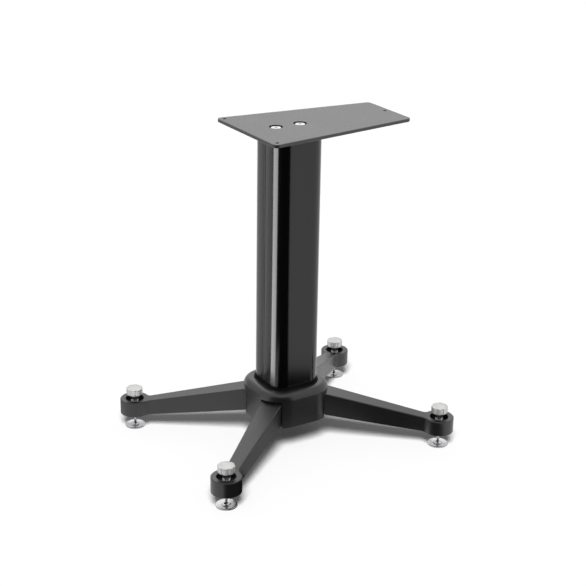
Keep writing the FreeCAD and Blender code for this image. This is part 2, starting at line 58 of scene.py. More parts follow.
# Fineness of the turned pieces
ROUND = 96  # points round a turned piece
FLUTED_ROUND = 192  # points round a knob
BEND_STEPS = 6  # steps in a profile's rounded corner
EDGE_STEPS = 4  # steps in a knob's rounded edge
THREAD_STEPS = 8  # rings in one turn of a thread
FLANK_SLOPE = 2.6  # rise of a thread's flank over one pitch, in thread depths
SHARP_ANGLE = math.radians(35.0)  # edges sharper than this aren't shaded smooth

# The ring turned into a knob's top: shares of the knob's radius and of the groove's depth
KNOB_RING = ((0.66, 0.0), (0.64, 1.0), (0.60, 1.0), (0.58, 0.0))

# Textures
NOISE_LOW = 0.3  # a noise texture's values lie mostly from here
NOISE_HIGH = 0.7  # to here
SMUDGE_CLEAN = 0.75  # least roughness of turned metal, as a share of its own
SMUDGE_DULL = 1.3  # most roughness of turned metal, as a share of its own
PAINTED_EDGE_SHADE = 0.2  # painted shade on the plate's upright edges: their colour as a share of its top's
LINE_STRETCH = 0.012  # upright scale of the extrusion's lines
WAVE_RATE = 20.0  # radians of Blender's wave texture in one unit at scale 1

PHOTO_WIDTH = 586  # pixels
SENSOR_WIDTH = 36.0  # millimetres, as Blender counts a camera's sensor and lens

WHITE = (1.0, 1.0, 1.0, 1.0)
SQUARE = ((-1, -1), (1, -1), (1, 1), (-1, 1))
FLOOR_SIZE = 14.0  # metres

# Cards that only reflections show, in metres. Those on the floor are swept round the column's axis:
# from and to in degrees from the front towards +X, inner and outer radius, height of the far wall.
CARD_STEPS = 24
CARD_LIFT = 1.0 * MM
CARD_LOW = 2 * CARD_LIFT
CARD_REACH = 2.0
CARD_HEIGHT = 2.0
BRIGHT_CARD = (-34.0, 8.0, 0.34, CARD_REACH, CARD_HEIGHT)
DARK_CARDS = (
    ("dark_card_front", (10.0, 40.0, 0.50, CARD_REACH, CARD_HEIGHT)),
    ("dark_card_far", (40.0, 107.0, 0.36, CARD_REACH, CARD_HEIGHT)),
    ("dark_card_near", (40.0, 131.0, 0.18, 0.36, CARD_LOW)),
)
SHADE_CARD_BELOW = (45.0, 215.0, 0.01, 0.175, CARD_LOW)
SHADE_CARDS = (
    ("shade_card_wide", (-57.0, -38.0, 0.3, CARD_REACH, CARD_HEIGHT)),
    ("shade_card_narrow", (-50.0, -38.0, 0.3, CARD_REACH, CARD_HEIGHT)),
)
BELOW_CLEAR = 0.4  # what the card under the hub lets through
SHADE_CLEAR = 0.72  # what the shade cards on the column let through
OVERHEAD_AZIMUTH = math.radians(245.0)
OVERHEAD_ELEVATION = math.radians(52.0)
OVERHEAD_DISTANCE = 2.2
OVERHEAD_SIDE = 1.8


# ---------------------------------------------------------------- sizes and colours

def length(name, description, millimetres):
    return FloatProperty(
        name=name, description=description, default=millimetres * MM, unit="LENGTH", precision=5
    )


def rotation(name, description, degrees):
    return FloatProperty(
        name=name, description=description, default=math.radians(degrees), unit="ROTATION"
    )


def amount(name, description, value):
    return FloatProperty(name=name, description=description, default=value, min=0.0)


def tint(name, description, red, green, blue):
    return FloatVectorProperty(
        name=name, description=description, default=(red, green, blue),
        size=3, subtype="COLOR", min=0.0, max=1.0,
    )


class StandSizes(bpy.types.PropertyGroup):
    thread_pitch: length("Thread Pitch", "Rise of the levelling thread in one turn", 1.5)
    thread_depth: length("Thread Depth", "Depth of the levelling thread", 0.75)
    thread_diameter: length("Thread Diameter", "Outer diameter of the levelling thread", 13.96)
    thread_top: length("Thread Top", "Height of the levelling thread's upper end", 56.6)
    thread_foot: length("Thread Foot", "Height of the levelling thread's lower end", 31.0)
    neck_height: length("Neck Height", "Length of the polished neck under a knob", 8.6)
    neck_foot_edge: length("Neck Foot Edge", "Radius of the neck's lower edge", 0.5)
    neck_top_edge: length("Neck Top Edge", "Radius of the neck's upper edge", 0.3)
    stud_diameter: length("Stud Diameter", "Stud that holds the knob", 9.0)
    stud_height: length("Stud Height", "How far the stud enters the knob", 8.0)
    thread_relief: length("Thread Relief", "Between the thread's ends and the plain turning", 0.1)
    spike_root: length("Spike Root", "Diameter of the spike under the thread", 10.0)
    spike_cone: length("Spike Cone", "Height from the spike's root to the thread", 2.0)
    spike_shoulder: length("Spike Shoulder", "Height from the spike's slim part to the thread", 8.0)
    spike_shank: length("Spike Shank", "Diameter of the spike's slim part", 4.6)
    spike_bend: length("Spike Bend", "Radius where the slim part meets its tapers", 4.0)
    spike_taper: length("Spike Taper", "Height of the spike's tapered end", 7.0)
    spike_point: length("Spike Point", "Diameter of the spike's flat point", 1.0)
    knob_flutes: IntProperty(
        name="Knob Flutes", description="Grip flutes round each knob", default=8, min=1
    )
    knob_flute_start: rotation("Flute Start", "Turn of the first flute from +X", -14.0)
    knob_flute_radius: length("Flute Radius", "Radius of one grip flute", 2.6)
    knob_flute_depth: length("Flute Depth", "How far a flute cuts into the knob", 1.2)
    knob_edge: length("Knob Edge", "Radius of the knob's upper and lower edges", 0.9)
    knob_groove: length("Knob Groove", "Depth of the ring turned into the knob's top", 0.25)
    stud_play: length("Stud Play", "How much wider than the stud the knob's bore is", 0.1)
    stud_headroom: length("Stud Headroom", "How much deeper than the stud the knob's bore is", 0.2)
    cup_foot_inset: length("Cup Foot Inset", "From a floor cup's edge to where it touches the floor", 0.8)
    cup_foot_edge: length("Cup Foot Edge", "Radius of a floor cup's lower edge", 0.6)
    cup_rim: length("Cup Rim", "Thickness of a floor cup at its edge", 3.2)
    cup_rim_edge: length("Cup Rim Edge", "Radius of a floor cup's upper edge", 1.1)
    cup_rim_width: length("Cup Rim Width", "Width of the flat band inside the edge", 3.0)
    cup_rim_fall: length("Cup Rim Fall", "How far the band falls towards the middle", 0.1)
    cup_rim_bend: length("Cup Rim Bend", "Radius where the band turns down", 0.3)
    cup_dish: length("Cup Dish", "Depth of the dish round the raised middle", 0.8)
    cup_dish_bend: length("Cup Dish Bend", "Radius between the dish and the raised middle", 0.5)
    cup_boss: length("Cup Boss", "Diameter of the raised middle of a floor cup", 15.0)
    cup_boss_slope: length("Boss Slope", "How far the raised middle's foot spreads past its top", 1.2)
    cup_boss_edge: length("Boss Edge", "Radius of the raised middle's edge", 0.4)
    cup_dimple: length("Cup Dimple", "Diameter of the dimple for the spike's point", 9.0)
    cup_dimple_edge: length("Dimple Edge", "Radius of the dimple's edge", 0.3)
    cup_dimple_floor: length("Dimple Floor", "Height of the dimple's floor", 1.8)
    cup_dimple_flat: length("Dimple Flat", "Diameter of the dimple's flat floor", 1.0)
    head_thickness: length("Head Thickness", "Thickness of a plate bolt's head", 2.4)
    head_edge: length("Head Edge", "Radius of a plate bolt's upper edge", 0.8)
    head_foot_edge: length("Head Foot Edge", "Radius of the head's lower edge", 0.2)
    head_diameter: length("Head Diameter", "Diameter of a plate bolt's head", 18.0)
    shank_diameter: length("Shank Diameter", "Diameter of a plate bolt's shank", 8.0)
    shank_chamfer: length("Shank Chamfer", "Chamfer at the shank's end", 0.8)
    socket_flats: length("Socket", "Width of a plate bolt's hexagon socket across its flats", 5.0)
    socket_mouth: length("Socket Mouth", "Diameter of the chamfer round the socket", 6.2)
    socket_mouth_width: length("Mouth Width", "Width of the chamfer round the socket", 0.25)
    socket_mouth_depth: length("Mouth Depth", "Depth of the chamfer round the socket", 0.2)
    socket_start: length("Socket Start", "Depth at which the socket's flats are full", 0.35)
    socket_depth: length("Socket Depth", "Depth of a plate bolt's hexagon socket", 1.8)


class StandFinishes(bpy.types.PropertyGroup):
    plate: tint("Plate", "Powder coat of the top plate", 0.040, 0.040, 0.0412)
    column: tint("Column", "Anodised skin of the column", 0.0012, 0.0012, 0.0013)
    casting: tint("Castings", "Paint of the hub and the legs", 0.006, 0.006, 0.0062)
    silver: tint("Silver Steel", "Turned steel of the plate bolts", 0.62, 0.62, 0.62)
    polished: tint("Polished Steel", "Spindles and floor cups", 0.42, 0.42, 0.43)
    aluminium: tint("Aluminium", "Knobs", 0.52, 0.52, 0.515)
    rubber: tint("Rubber", "Seal round the column's foot", 0.002, 0.002, 0.002)
    oxide: tint("Black Oxide", "Hidden bolts and the threaded inserts", 0.018, 0.018, 0.02)


class StandStudio(bpy.types.PropertyGroup):
    floor: tint("Floor", "Colour of the floor", 0.97, 0.97, 0.97)
    ambient: amount("Ambient", "Strength of the light from all round", 0.17)
    key_light: amount("Key Light", "Light that the key lamp adds to a level surface", 0.88)
    key_azimuth: rotation("Key Azimuth", "Turn of the key lamp from the front towards +X", 56.0)
    key_elevation: rotation("Key Elevation", "Height of the key lamp above the horizon", 50.0)
    key_width: rotation("Key Width", "Angle that the key lamp fills", 23.0)
    bright_card: amount("Bright Card", "Strength of the card that the column's corner mirrors", 6.6)
    overhead_card: amount("Overhead Card", "Strength of the card that the legs' tops mirror", 2.0)
    camera_azimuth: rotation("Camera Azimuth", "Turn of the camera from the front towards +X", 57.79)
    camera_elevation: rotation("Camera Elevation", "Height of the camera above the horizon", 21.69)
    camera_roll: rotation("Camera Roll", "Tilt of the camera about its own axis", 0.94)
    camera_distance: length(
        "Camera Distance", "From the camera to the point that it looks at", 2612.93
    )
    camera_aim_right: length(
        "Aim Right", "Where the camera looks, to the right of the column's middle", 10.71
    )
    camera_aim_up: length("Aim Up", "Where the camera looks, above the column's middle", -12.71)
    camera_focal_pixels: amount("Focal Length", "Focal length in the photograph's pixels", 1444.43)


# ---------------------------------------------------------------- nodes and materials

def add_node(tree, kind, values=None, **settings):
    """A shader node with its settings and its unlinked inputs filled in."""
    node = tree.nodes.new(kind)
    for key, value in settings.items():
        setattr(node, key, value)
    for key, value in (values or {}).items():
        node.inputs[key].default_value = value
    return node


def emptied(owner, output_kind):
    """Node tree of a new material or world, with only an output in it, and that output."""
    owner.use_nodes = True
    owner.node_tree.nodes.clear()
    return owner.node_tree, add_node(owner.node_tree, output_kind)


def new_material(name):
    """Material with its tree and the shader that the textures go into."""
    material = bpy.data.materials.new(name)
    tree, output = emptied(material, "ShaderNodeOutputMaterial")
    shader = add_node(tree, "ShaderNodeBsdfPrincipled")
    tree.links.new(shader.outputs["BSDF"], output.inputs["Surface"])
    return material, tree, shader


def object_place(tree, stretch=(1.0, 1.0, 1.0)):
    """Object coordinates, stretched along the axes."""
    place = add_node(tree, "ShaderNodeTexCoord")
    mapping = add_node(tree, "ShaderNodeMapping", {"Scale": stretch})
    tree.links.new(place.outputs["Object"], mapping.inputs["Vector"])
    return mapping.outputs["Vector"]


def noise(tree, place, scale, detail=3.0):
    node = add_node(tree, "ShaderNodeTexNoise", {"Scale": scale, "Detail": detail})
    tree.links.new(place, node.inputs["Vector"])
    return node.outputs["Fac"]


def ranged(tree, value, low, high, start=NOISE_LOW, end=NOISE_HIGH):
    """A value that runs from start to end, spread from low to high."""
    node = add_node(
        tree, "ShaderNodeMapRange",
        {"From Min": start, "From Max": end, "To Min": low, "To Max": high},
    )
    tree.links.new(value, node.inputs["Value"])
    return node.outputs["Result"]


def tinted(tree, value, colour, spread):
    """Colour that varies by the share spread about its middle tone."""
    ramp = add_node(tree, "ShaderNodeValToRGB")
    for element, factor in zip(ramp.color_ramp.elements, (1.0 - spread, 1.0 + spread)):
        element.color = (*(channel * factor for channel in colour), 1.0)
    ramp.color_ramp.elements[0].position = NOISE_LOW
    ramp.color_ramp.elements[1].position = NOISE_HIGH
    tree.links.new(value, ramp.inputs["Fac"])
    return ramp.outputs["Color"]


def bumped(tree, height, distance, strength, under=None):
    node = add_node(tree, "ShaderNodeBump", {"Distance": distance, "Strength": strength})
    tree.links.new(height, node.inputs["Height"])
    if under is not None:
        tree.links.new(under, node.inputs["Normal"])
    return node.outputs["Normal"]


def dress(tree, shader, base, roughness, normal):
    """Links the three textures that every finish has."""
    tree.links.new(base, shader.inputs["Base Color"])
    tree.links.new(roughness, shader.inputs["Roughness"])
    tree.links.new(normal, shader.inputs["Normal"])


def powder_coat_and_edge_shade(colour):
    """Fine-grained satin powder coat of the top plate, with painted shade that darkens its upright edges.
    """
    material, tree, shader = new_material("powder_coat_and_edge_shade")
    place = object_place(tree)
    geometry = add_node(tree, "ShaderNodeNewGeometry")
    normal = add_node(tree, "ShaderNodeSeparateXYZ")
    tree.links.new(geometry.outputs["True Normal"], normal.inputs["Vector"])
    # Painted shade: upright faces get a darker copy of the coat's colour, mixed in by how far they turn
    # from facing up
    facing_up = ranged(tree, normal.outputs["Z"], low=0.0, high=1.0, start=0.2, end=0.8)
    edge = tuple(channel * PAINTED_EDGE_SHADE for channel in colour)
    mottle = noise(tree, place, scale=14.0)
    tone = add_node(tree, "ShaderNodeMix", data_type="RGBA")
    tree.links.new(facing_up, tone.inputs["Factor"])
    tree.links.new(tinted(tree, mottle, edge, spread=0.2), tone.inputs["A"])
    tree.links.new(tinted(tree, mottle, colour, spread=0.12), tone.inputs["B"])
    dress(
        tree, shader,
        base=tone.outputs["Result"],
        roughness=ranged(tree, noise(tree, place, scale=260.0), low=0.40, high=0.50),
        normal=bumped(
            tree, noise(tree, place, scale=1900.0, detail=2.0), distance=0.05 * MM, strength=0.5
        ),
    )
    shader.inputs["IOR"].default_value = 1.7
    return material


def anodised_extrusion(colour):
    """Black anodised skin with the faint upright lines of an extrusion."""
    material, tree, shader = new_material("anodised_extrusion")
    place = object_place(tree)
    lines = object_place(tree, stretch=(1.0, 1.0, LINE_STRETCH))
    drawn = bumped(tree, noise(tree, lines, scale=700.0), distance=0.02 * MM, strength=0.35)
    dress(
        tree, shader,
        base=tinted(tree, noise(tree, lines, scale=60.0), colour, spread=0.15),
        roughness=ranged(tree, noise(tree, lines, scale=900.0), low=0.14, high=0.19),
        normal=bumped(
            tree, noise(tree, place, scale=2600.0, detail=2.0),
            distance=0.01 * MM, strength=0.4, under=drawn,
        ),
    )
    shader.inputs["IOR"].default_value = 1.5
    return material


def casting_paint(colour):
    """Satin paint over a casting, with a slight orange peel."""
    material, tree, shader = new_material("casting_paint")
    place = object_place(tree)
    peel = bumped(
        tree, noise(tree, place, scale=320.0, detail=1.0), distance=0.06 * MM, strength=0.25
    )
    dress(
        tree, shader,
        base=tinted(tree, noise(tree, place, scale=18.0), colour, spread=0.12),
        roughness=ranged(tree, noise(tree, place, scale=220.0), low=0.30, high=0.38),
        normal=bumped(
            tree, noise(tree, place, scale=2200.0, detail=2.0),
            distance=0.02 * MM, strength=0.4, under=peel,
        ),
    )
    shader.inputs["IOR"].default_value = 1.62
    return material


def turned_metal(name, colour, roughness, ring_pitch, ring_depth, drawn=0.0, bare=1.0):
    """Metal turned on a lathe: fine rings about the piece's own upright axis.

    drawn is how far the rings stretch the highlights, and bare is 1.0 for a clean metal surface
    and less for one that is dulled by a matt skin.
    """
    material, tree, shader = new_material(name)
    place = object_place(tree)
    rings = add_node(
        tree, "ShaderNodeTexWave",
        {"Scale": math.tau / (WAVE_RATE * ring_pitch), "Distortion": 0.8, "Detail": 2.0},
        wave_type="RINGS", rings_direction="Z",
    )
    tree.links.new(place, rings.inputs["Vector"])
    cut = bumped(tree, rings.outputs["Fac"], distance=ring_depth, strength=0.5)
    dress(
        tree, shader,
        base=tinted(tree, noise(tree, place, scale=160.0), colour, spread=0.06),
        roughness=ranged(
            tree, noise(tree, place, scale=90.0),
            low=roughness * SMUDGE_CLEAN, high=roughness * SMUDGE_DULL,
        ),
        normal=bumped(
            tree, noise(tree, place, scale=1500.0, detail=2.0),
            distance=ring_depth, strength=0.2, under=cut,
        ),
    )
    tangent = add_node(tree, "ShaderNodeTangent", direction_type="RADIAL", axis="Z")
    tree.links.new(tangent.outputs["Tangent"], shader.inputs["Tangent"])
    shader.inputs["Anisotropic"].default_value = drawn
    shader.inputs["Metallic"].default_value = bare
    return material


def black_oxide(colour):
    """Blackened steel with a fine uneven bloom."""
    material, tree, shader = new_material("black_oxide")
    place = object_place(tree)
    dress(
        tree, shader,
        base=tinted(tree, noise(tree, place, scale=240.0), colour, spread=0.2),
        roughness=ranged(tree, noise(tree, place, scale=500.0), low=0.38, high=0.55),
        normal=bumped(
            tree, noise(tree, place, scale=1500.0), distance=0.02 * MM, strength=0.4
        ),
    )
    return material


def matt_rubber(colour):
    """Moulded rubber with a fine matt grain and little shine."""
    material, tree, shader = new_material("matt_rubber")
    place = object_place(tree)
    dress(
        tree, shader,
        base=tinted(tree, noise(tree, place, scale=120.0), colour, spread=0.2),
        roughness=ranged(tree, noise(tree, place, scale=400.0), low=0.6, high=0.8),
        normal=bumped(
            tree, noise(tree, place, scale=1800.0), distance=0.04 * MM, strength=0.4
        ),
    )
    shader.inputs["Specular IOR Level"].default_value = 0.12
    return material


def finish(thing, material):
    """Gives an object one finish all over."""
    thing.data.materials.clear()
    thing.data.materials.append(material)
    for polygon in thing.data.polygons:
        polygon.material_index = 0


# ---------------------------------------------------------------- meshes

def rounded_profile(corners):
    """Open outline through corners (radius, height, corner radius), its bends as arcs."""
    points = []
    for index, (radius, height, bend) in enumerate(corners):
        here = Vector((radius, height))
        if bend == 0.0:
            points.append(here)
            continue
        back = (Vector(corners[index - 1][:2]) - here).normalized()
        ahead = (Vector(corners[index + 1][:2]) - here).normalized()
        half_angle = back.angle(ahead) / 2
        trim = bend / math.tan(half_angle)
        centre = here + (back + ahead).normalized() * (bend / math.sin(half_angle))
        start = here + back * trim - centre
        end = here + ahead * trim - centre
        sweep = start.angle_signed(end)
        for step in range(BEND_STEPS + 1):
            points.append(centre + Matrix.Rotation(-sweep * step / BEND_STEPS, 2) @ start)
    return points


def add_piece(name, vertices, faces, place, body, material):
    """Piece of the stand that rides on a body and stands at its own axis."""
    mesh = bpy.data.meshes.new(name)
    mesh.from_pydata(vertices, [], faces)
    mesh.validate()
    mesh.update()
    piece = bpy.data.objects.new(name, mesh)
    bpy.context.scene.collection.objects.link(piece)
    piece.location = place
    mesh.shade_smooth()
    mesh.set_sharp_from_angle(angle=SHARP_ANGLE)
    finish(piece, material)
    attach(piece, body)
    return piece


def ringed(rings):
    """Closed surface over rings of points, all with one count, with a flat cap at each end."""
    count = len(rings[0])
    vertices = [point for ring in rings for point in ring]
    faces = []
    for below in range(0, len(vertices) - count, count):
        above = below + count
        for index in range(count):
            after = (index + 1) % count
            faces.append((below + index, below + after, above + after, above + index))
    faces.append(tuple(reversed(range(count))))
    faces.append(tuple(range(len(vertices) - count, len(vertices))))
    return vertices, faces


def ring(radius_at, height, segments):
    """Points at one height, their distance from the axis given for each angle."""
    points = []
    for index in range(segments):
        angle = math.tau * index / segments
        radius = radius_at(angle)
        points.append((radius * math.cos(angle), radius * math.sin(angle), height))
    return points


def circles(profile, segments):
    """Round rings for a profile of (radius, height)."""
    return [
        ring(lambda angle, radius=radius: radius, height, segments) for radius, height in profile
    ]


def hexagon_radius(across_flats):
    """Distance of a hexagon's outline from its middle, for each angle."""
    sector = math.tau / 6

    def radius_at(angle):
        return across_flats / 2 / math.cos(angle % sector - sector / 2)

    return radius_at


def fluted_radius(radius, inset, sizes):
    """Distance of a knob's fluted outline from its axis, for each angle."""
    sector = math.tau / sizes.knob_flutes
    away = radius - sizes.knob_flute_depth + sizes.knob_flute_radius

    def radius_at(angle):
        turn = (angle - sizes.knob_flute_start + sector / 2) % sector - sector / 2
        across = away * math.sin(turn)
        outline = radius
        if abs(across) < sizes.knob_flute_radius:
            outline = away * math.cos(turn) - math.sqrt(sizes.knob_flute_radius ** 2 - across ** 2)
        return min(outline, radius) - inset

    return radius_at


def fluted_edge(radius, level, way, sizes):
    """Rings of a knob's rounded edge, from its flat face at a level out to its side.

    way is 1.0 where the side lies above the face, and -1.0 where it lies below.
    """
    rings = []
    for step in range(EDGE_STEPS + 1):
        turn = math.pi / 2 * step / EDGE_STEPS
        inset = sizes.knob_edge * (1.0 - math.sin(turn))
        rise = sizes.knob_edge * (1.0 - math.cos(turn))
        outline = fluted_radius(radius, inset, sizes)
        rings.append(ring(outline, level + way * rise, FLUTED_ROUND))
    return rings


def thread_rings(sizes):
    """Rings of the levelling thread, a helix that runs out at both its ends."""
    crest = sizes.thread_diameter / 2
    foot = sizes.thread_foot
    top = sizes.thread_top
    steps = round((top - foot) / sizes.thread_pitch * THREAD_STEPS)
    rings = []
    for step in range(steps + 1):
        height = foot + (top - foot) * step / steps
        run_out = min(1.0, min(height - foot, top - height) / sizes.thread_pitch)

        def radius_at(angle):
            phase = (height / sizes.thread_pitch - angle / math.tau) % 1.0
            flank = min(1.0, FLANK_SLOPE * abs(phase - 0.5))
            return crest - sizes.thread_depth * run_out * (1.0 - flank)

        rings.append(ring(radius_at, height, ROUND))
    return rings


def axis_of(node):
    """Point on the floor under the middle of a node."""
    low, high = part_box(node)
    return Vector(((low[0] + high[0]) / 2, (low[1] + high[1]) / 2, 0.0))


# ---------------------------------------------------------------- operators

class StandPart:
    """What the operators share."""

    bl_options = {"REGISTER", "UNDO"}

    def finishes(self, context):
        return context.scene.stand_finishes

    def sizes(self, context):
        return context.scene.stand_sizes


class STAND_OT_top_plate(StandPart, bpy.types.Operator):
    """Powder coat the top plate"""

    bl_idname = "stand.top_plate"
    bl_label = "Top Plate"

    def execute(self, context):
        finish(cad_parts["top_plate"], powder_coat_and_edge_shade(self.finishes(context).plate))
        return {"FINISHED"}


class STAND_OT_plate_bolts(StandPart, bpy.types.Operator):
    """Turn the two silver bolts in the top plate, with their hexagon sockets"""

    bl_idname = "stand.plate_bolts"
    bl_label = "Plate Bolts"

    def execute(self, context):
        sizes = self.sizes(context)
        silver = turned_metal(
            "silver_steel", self.finishes(context).silver, roughness=0.26,
            ring_pitch=0.35 * MM, ring_depth=0.012 * MM, drawn=0.4,
        )
        low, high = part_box("plate_bolts")
        shank = sizes.shank_diameter / 2
        head = sizes.head_diameter / 2
        seat = high[2] - sizes.head_thickness
        mouth = sizes.socket_mouth / 2
        rings = circles(rounded_profile([
            (shank - sizes.shank_chamfer, low[2], 0.0),
            (shank, low[2] + sizes.shank_chamfer, 0.0),
            (shank, seat, 0.0),
            (head, seat, sizes.head_foot_edge),
            (head, high[2], sizes.head_edge),
            (mouth, high[2], 0.0),
            (mouth - sizes.socket_mouth_width, high[2] - sizes.socket_mouth_depth, 0.0),
        ]), ROUND)
        for depth in (sizes.socket_start, sizes.socket_depth):
            rings.append(ring(hexagon_radius(sizes.socket_flats), high[2] - depth, ROUND))
        vertices, faces = ringed(rings)
        for end, y in (("front", low[1] + head), ("rear", high[1] - head)):
            bolt = add_piece(
                "plate_bolt_" + end, vertices, faces, (0.0, y, 0.0), "stand", silver
            )
            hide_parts("plate_bolts")
        return {"FINISHED"}


class STAND_OT_column(StandPart, bpy.types.Operator):
    """Anodise the column"""

    bl_idname = "stand.column"
    bl_label = "Column"

    def execute(self, context):
        finish(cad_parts["column"], anodised_extrusion(self.finishes(context).column))
        return {"FINISHED"}


class STAND_OT_castings(StandPart, bpy.types.Operator):
    """Paint the hub and the legs"""

    bl_idname = "stand.castings"
    bl_label = "Hub and Legs"

    def execute(self, context):
        paint = casting_paint(self.finishes(context).casting)
        finish(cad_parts["hub"], paint)
        for corner in CORNERS:
            finish(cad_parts["leg_" + corner], paint)
        return {"FINISHED"}


class STAND_OT_seal(StandPart, bpy.types.Operator):
    """Finish the rubber seal round the column's foot"""

    bl_idname = "stand.seal"
    bl_label = "Column Seal"

    def execute(self, context):
        finish(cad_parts["column_seal"], matt_rubber(self.finishes(context).rubber))
        return {"FINISHED"}


class STAND_OT_fixings(StandPart, bpy.types.Operator):
    """Blacken the hidden bolts and the threaded inserts"""

    bl_idname = "stand.fixings"
    bl_label = "Bolts and Inserts"

    def execute(self, context):
        oxide = black_oxide(self.finishes(context).oxide)
        finish(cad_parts["column_bolts"], oxide)
        finish(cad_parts["leg_bolts"], oxide)
        for corner in CORNERS:
            finish(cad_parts["foot_insert_" + corner], oxide)
        return {"FINISHED"}


class STAND_OT_spindles(StandPart, bpy.types.Operator):
    """Turn the levelling spindles, with neck, thread and spike"""

    bl_idname = "stand.spindles"
    bl_label = "Spindles"

    def execute(self, context):
        sizes = self.sizes(context)
        steel = turned_metal(
            "polished_spindle", self.finishes(context).polished, roughness=0.2,
            ring_pitch=0.25 * MM, ring_depth=0.004 * MM, bare=0.85,
        )
        for corner in CORNERS:
            low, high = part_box("spindle_" + corner)
            neck = (high[0] - low[0]) / 2
            neck_top = high[2] - sizes.stud_height
            neck_foot = neck_top - sizes.neck_height
            crest = sizes.thread_diameter / 2
            shank = sizes.spike_shank / 2
            spike = rounded_profile([
                (sizes.spike_point / 2, low[2], 0.0),
                (shank, low[2] + sizes.spike_taper, sizes.spike_bend),
                (shank, sizes.thread_foot - sizes.spike_shoulder, sizes.spike_bend),
                (sizes.spike_root / 2, sizes.thread_foot - sizes.spike_cone, 0.0),
                (crest, sizes.thread_foot - sizes.thread_relief, 0.0),
            ])
            collar = rounded_profile([
                (crest, sizes.thread_top + sizes.thread_relief, 0.0),
                (neck, neck_foot, sizes.neck_foot_edge),
                (neck, neck_top, sizes.neck_top_edge),
                (sizes.stud_diameter / 2, neck_top, 0.0),
                (sizes.stud_diameter / 2, high[2], 0.0),
            ])
            vertices, faces = ringed(
                circles(spike, ROUND) + thread_rings(sizes) + circles(collar, ROUND)
            )
            spindle = add_piece(
                "threaded_spindle_" + corner, vertices, faces, axis_of("spike_cup_" + corner),
                "screw_" + corner, steel,
            )
            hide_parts("spindle_" + corner)
        return {"FINISHED"}


class STAND_OT_knobs(StandPart, bpy.types.Operator):
    """Turn the levelling knobs and flute their edges"""

    bl_idname = "stand.knobs"
    bl_label = "Knobs"

    def execute(self, context):
        sizes = self.sizes(context)
        metal = turned_metal(
            "turned_aluminium", self.finishes(context).aluminium, roughness=0.36,
            ring_pitch=0.4 * MM, ring_depth=0.012 * MM, drawn=0.3, bare=0.6,
        )
        for corner in CORNERS:
            low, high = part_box("knob_" + corner)
            radius = high[0] - axis_of("spike_cup_" + corner).x
            bore = (sizes.stud_diameter + sizes.stud_play) / 2
            roof = low[2] + sizes.stud_height + sizes.stud_headroom
            rings = circles([(bore, roof), (bore, low[2])], FLUTED_ROUND)
            rings += fluted_edge(radius, low[2], 1.0, sizes)
            rings += reversed(fluted_edge(radius, high[2], -1.0, sizes))
            rings += circles([
                (radius * share, high[2] - sizes.knob_groove * depth)
                for share, depth in KNOB_RING
            ], FLUTED_ROUND)
            vertices, faces = ringed(rings)
            knob = add_piece(
                "turned_knob_" + corner, vertices, faces, axis_of("spike_cup_" + corner),
                "screw_" + corner, metal,
            )
            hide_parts("knob_" + corner)
        return {"FINISHED"}


class STAND_OT_cups(StandPart, bpy.types.Operator):
    """Turn the floor cups that the spikes stand in"""

    bl_idname = "stand.cups"
    bl_label = "Floor Cups"

    def execute(self, context):
        sizes = self.sizes(context)
        steel = turned_metal(
            "polished_cup", self.finishes(context).polished, roughness=0.16,
            ring_pitch=0.5 * MM, ring_depth=0.005 * MM, bare=0.9,
        )
        for corner in CORNERS:
            low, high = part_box("spike_cup_" + corner)
            radius = (high[0] - low[0]) / 2
            boss = sizes.cup_boss / 2
            dimple = sizes.cup_dimple / 2
            rim = low[2] + sizes.cup_rim
            vertices, faces = ringed(circles(rounded_profile([
                (radius - sizes.cup_foot_inset, low[2], 0.0),
                (radius, low[2], sizes.cup_foot_edge),
                (radius, rim, sizes.cup_rim_edge),
                (radius - sizes.cup_rim_width, rim - sizes.cup_rim_fall, sizes.cup_rim_bend),
                (boss + sizes.cup_boss_slope, rim - sizes.cup_dish, sizes.cup_dish_bend),
                (boss, high[2], sizes.cup_boss_edge),
                (dimple, high[2], sizes.cup_dimple_edge),
                (sizes.cup_dimple_flat / 2, sizes.cup_dimple_floor, 0.0),
            ]), ROUND))
            cup = add_piece(
                "turned_cup_" + corner, vertices, faces, axis_of("spike_cup_" + corner),
                "cup_" + corner, steel,
            )
            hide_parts("spike_cup_" + corner)
        return {"FINISHED"}


class STAND_OT_stage(StandPart, bpy.types.Operator):
    """Set up the floor, the lights and the camera"""

    bl_idname = "stand.stage"
    bl_label = "Studio"

    def execute(self, context):
        studio = context.scene.stand_studio
        make_world(context.scene, studio)
        make_floor(studio)
        make_key(studio)
        make_cards(studio)
        make_camera(context.scene, studio)
        return {"FINISHED"}


# ---------------------------------------------------------------- studio

def direction(azimuth, elevation=0.0):
    """Direction that is turned from the front towards +X and raised above the horizon."""
    level = math.cos(elevation)
    return Vector((level * math.sin(azimuth), -level * math.cos(azimuth), math.sin(elevation)))


def seen_directly(tree):
    """1 for camera, glossy and transmission rays, and 0 for the rest."""
    path = add_node(tree, "ShaderNodeLightPath")
    both = add_node(tree, "ShaderNodeMath", operation="MAXIMUM")
    tree.links.new(path.outputs["Is Camera Ray"], both.inputs[0])
    tree.links.new(path.outputs["Is Glossy Ray"], both.inputs[1])
    every = add_node(tree, "ShaderNodeMath", operation="MAXIMUM")
    tree.links.new(both.outputs["Value"], every.inputs[0])
    tree.links.new(path.outputs["Is Transmission Ray"], every.inputs[1])
    return every.outputs["Value"]


def make_world(scene, studio):
    """White where it is seen, and a softer light where it only lights."""
    world = bpy.data.worlds.new("studio")
    tree, output = emptied(world, "ShaderNodeOutputWorld")
    ambient = add_node(tree, "ShaderNodeBackground", {"Color": WHITE, "Strength": studio.ambient})
    white = add_node(tree, "ShaderNodeBackground", {"Color": WHITE, "Strength": 1.0})
    mix = add_node(tree, "ShaderNodeMixShader")
    tree.links.new(seen_directly(tree), mix.inputs["Fac"])
    tree.links.new(ambient.outputs["Background"], mix.inputs[1])
    tree.links.new(white.outputs["Background"], mix.inputs[2])
    tree.links.new(mix.outputs["Shader"], output.inputs["Surface"])
    scene.world = world


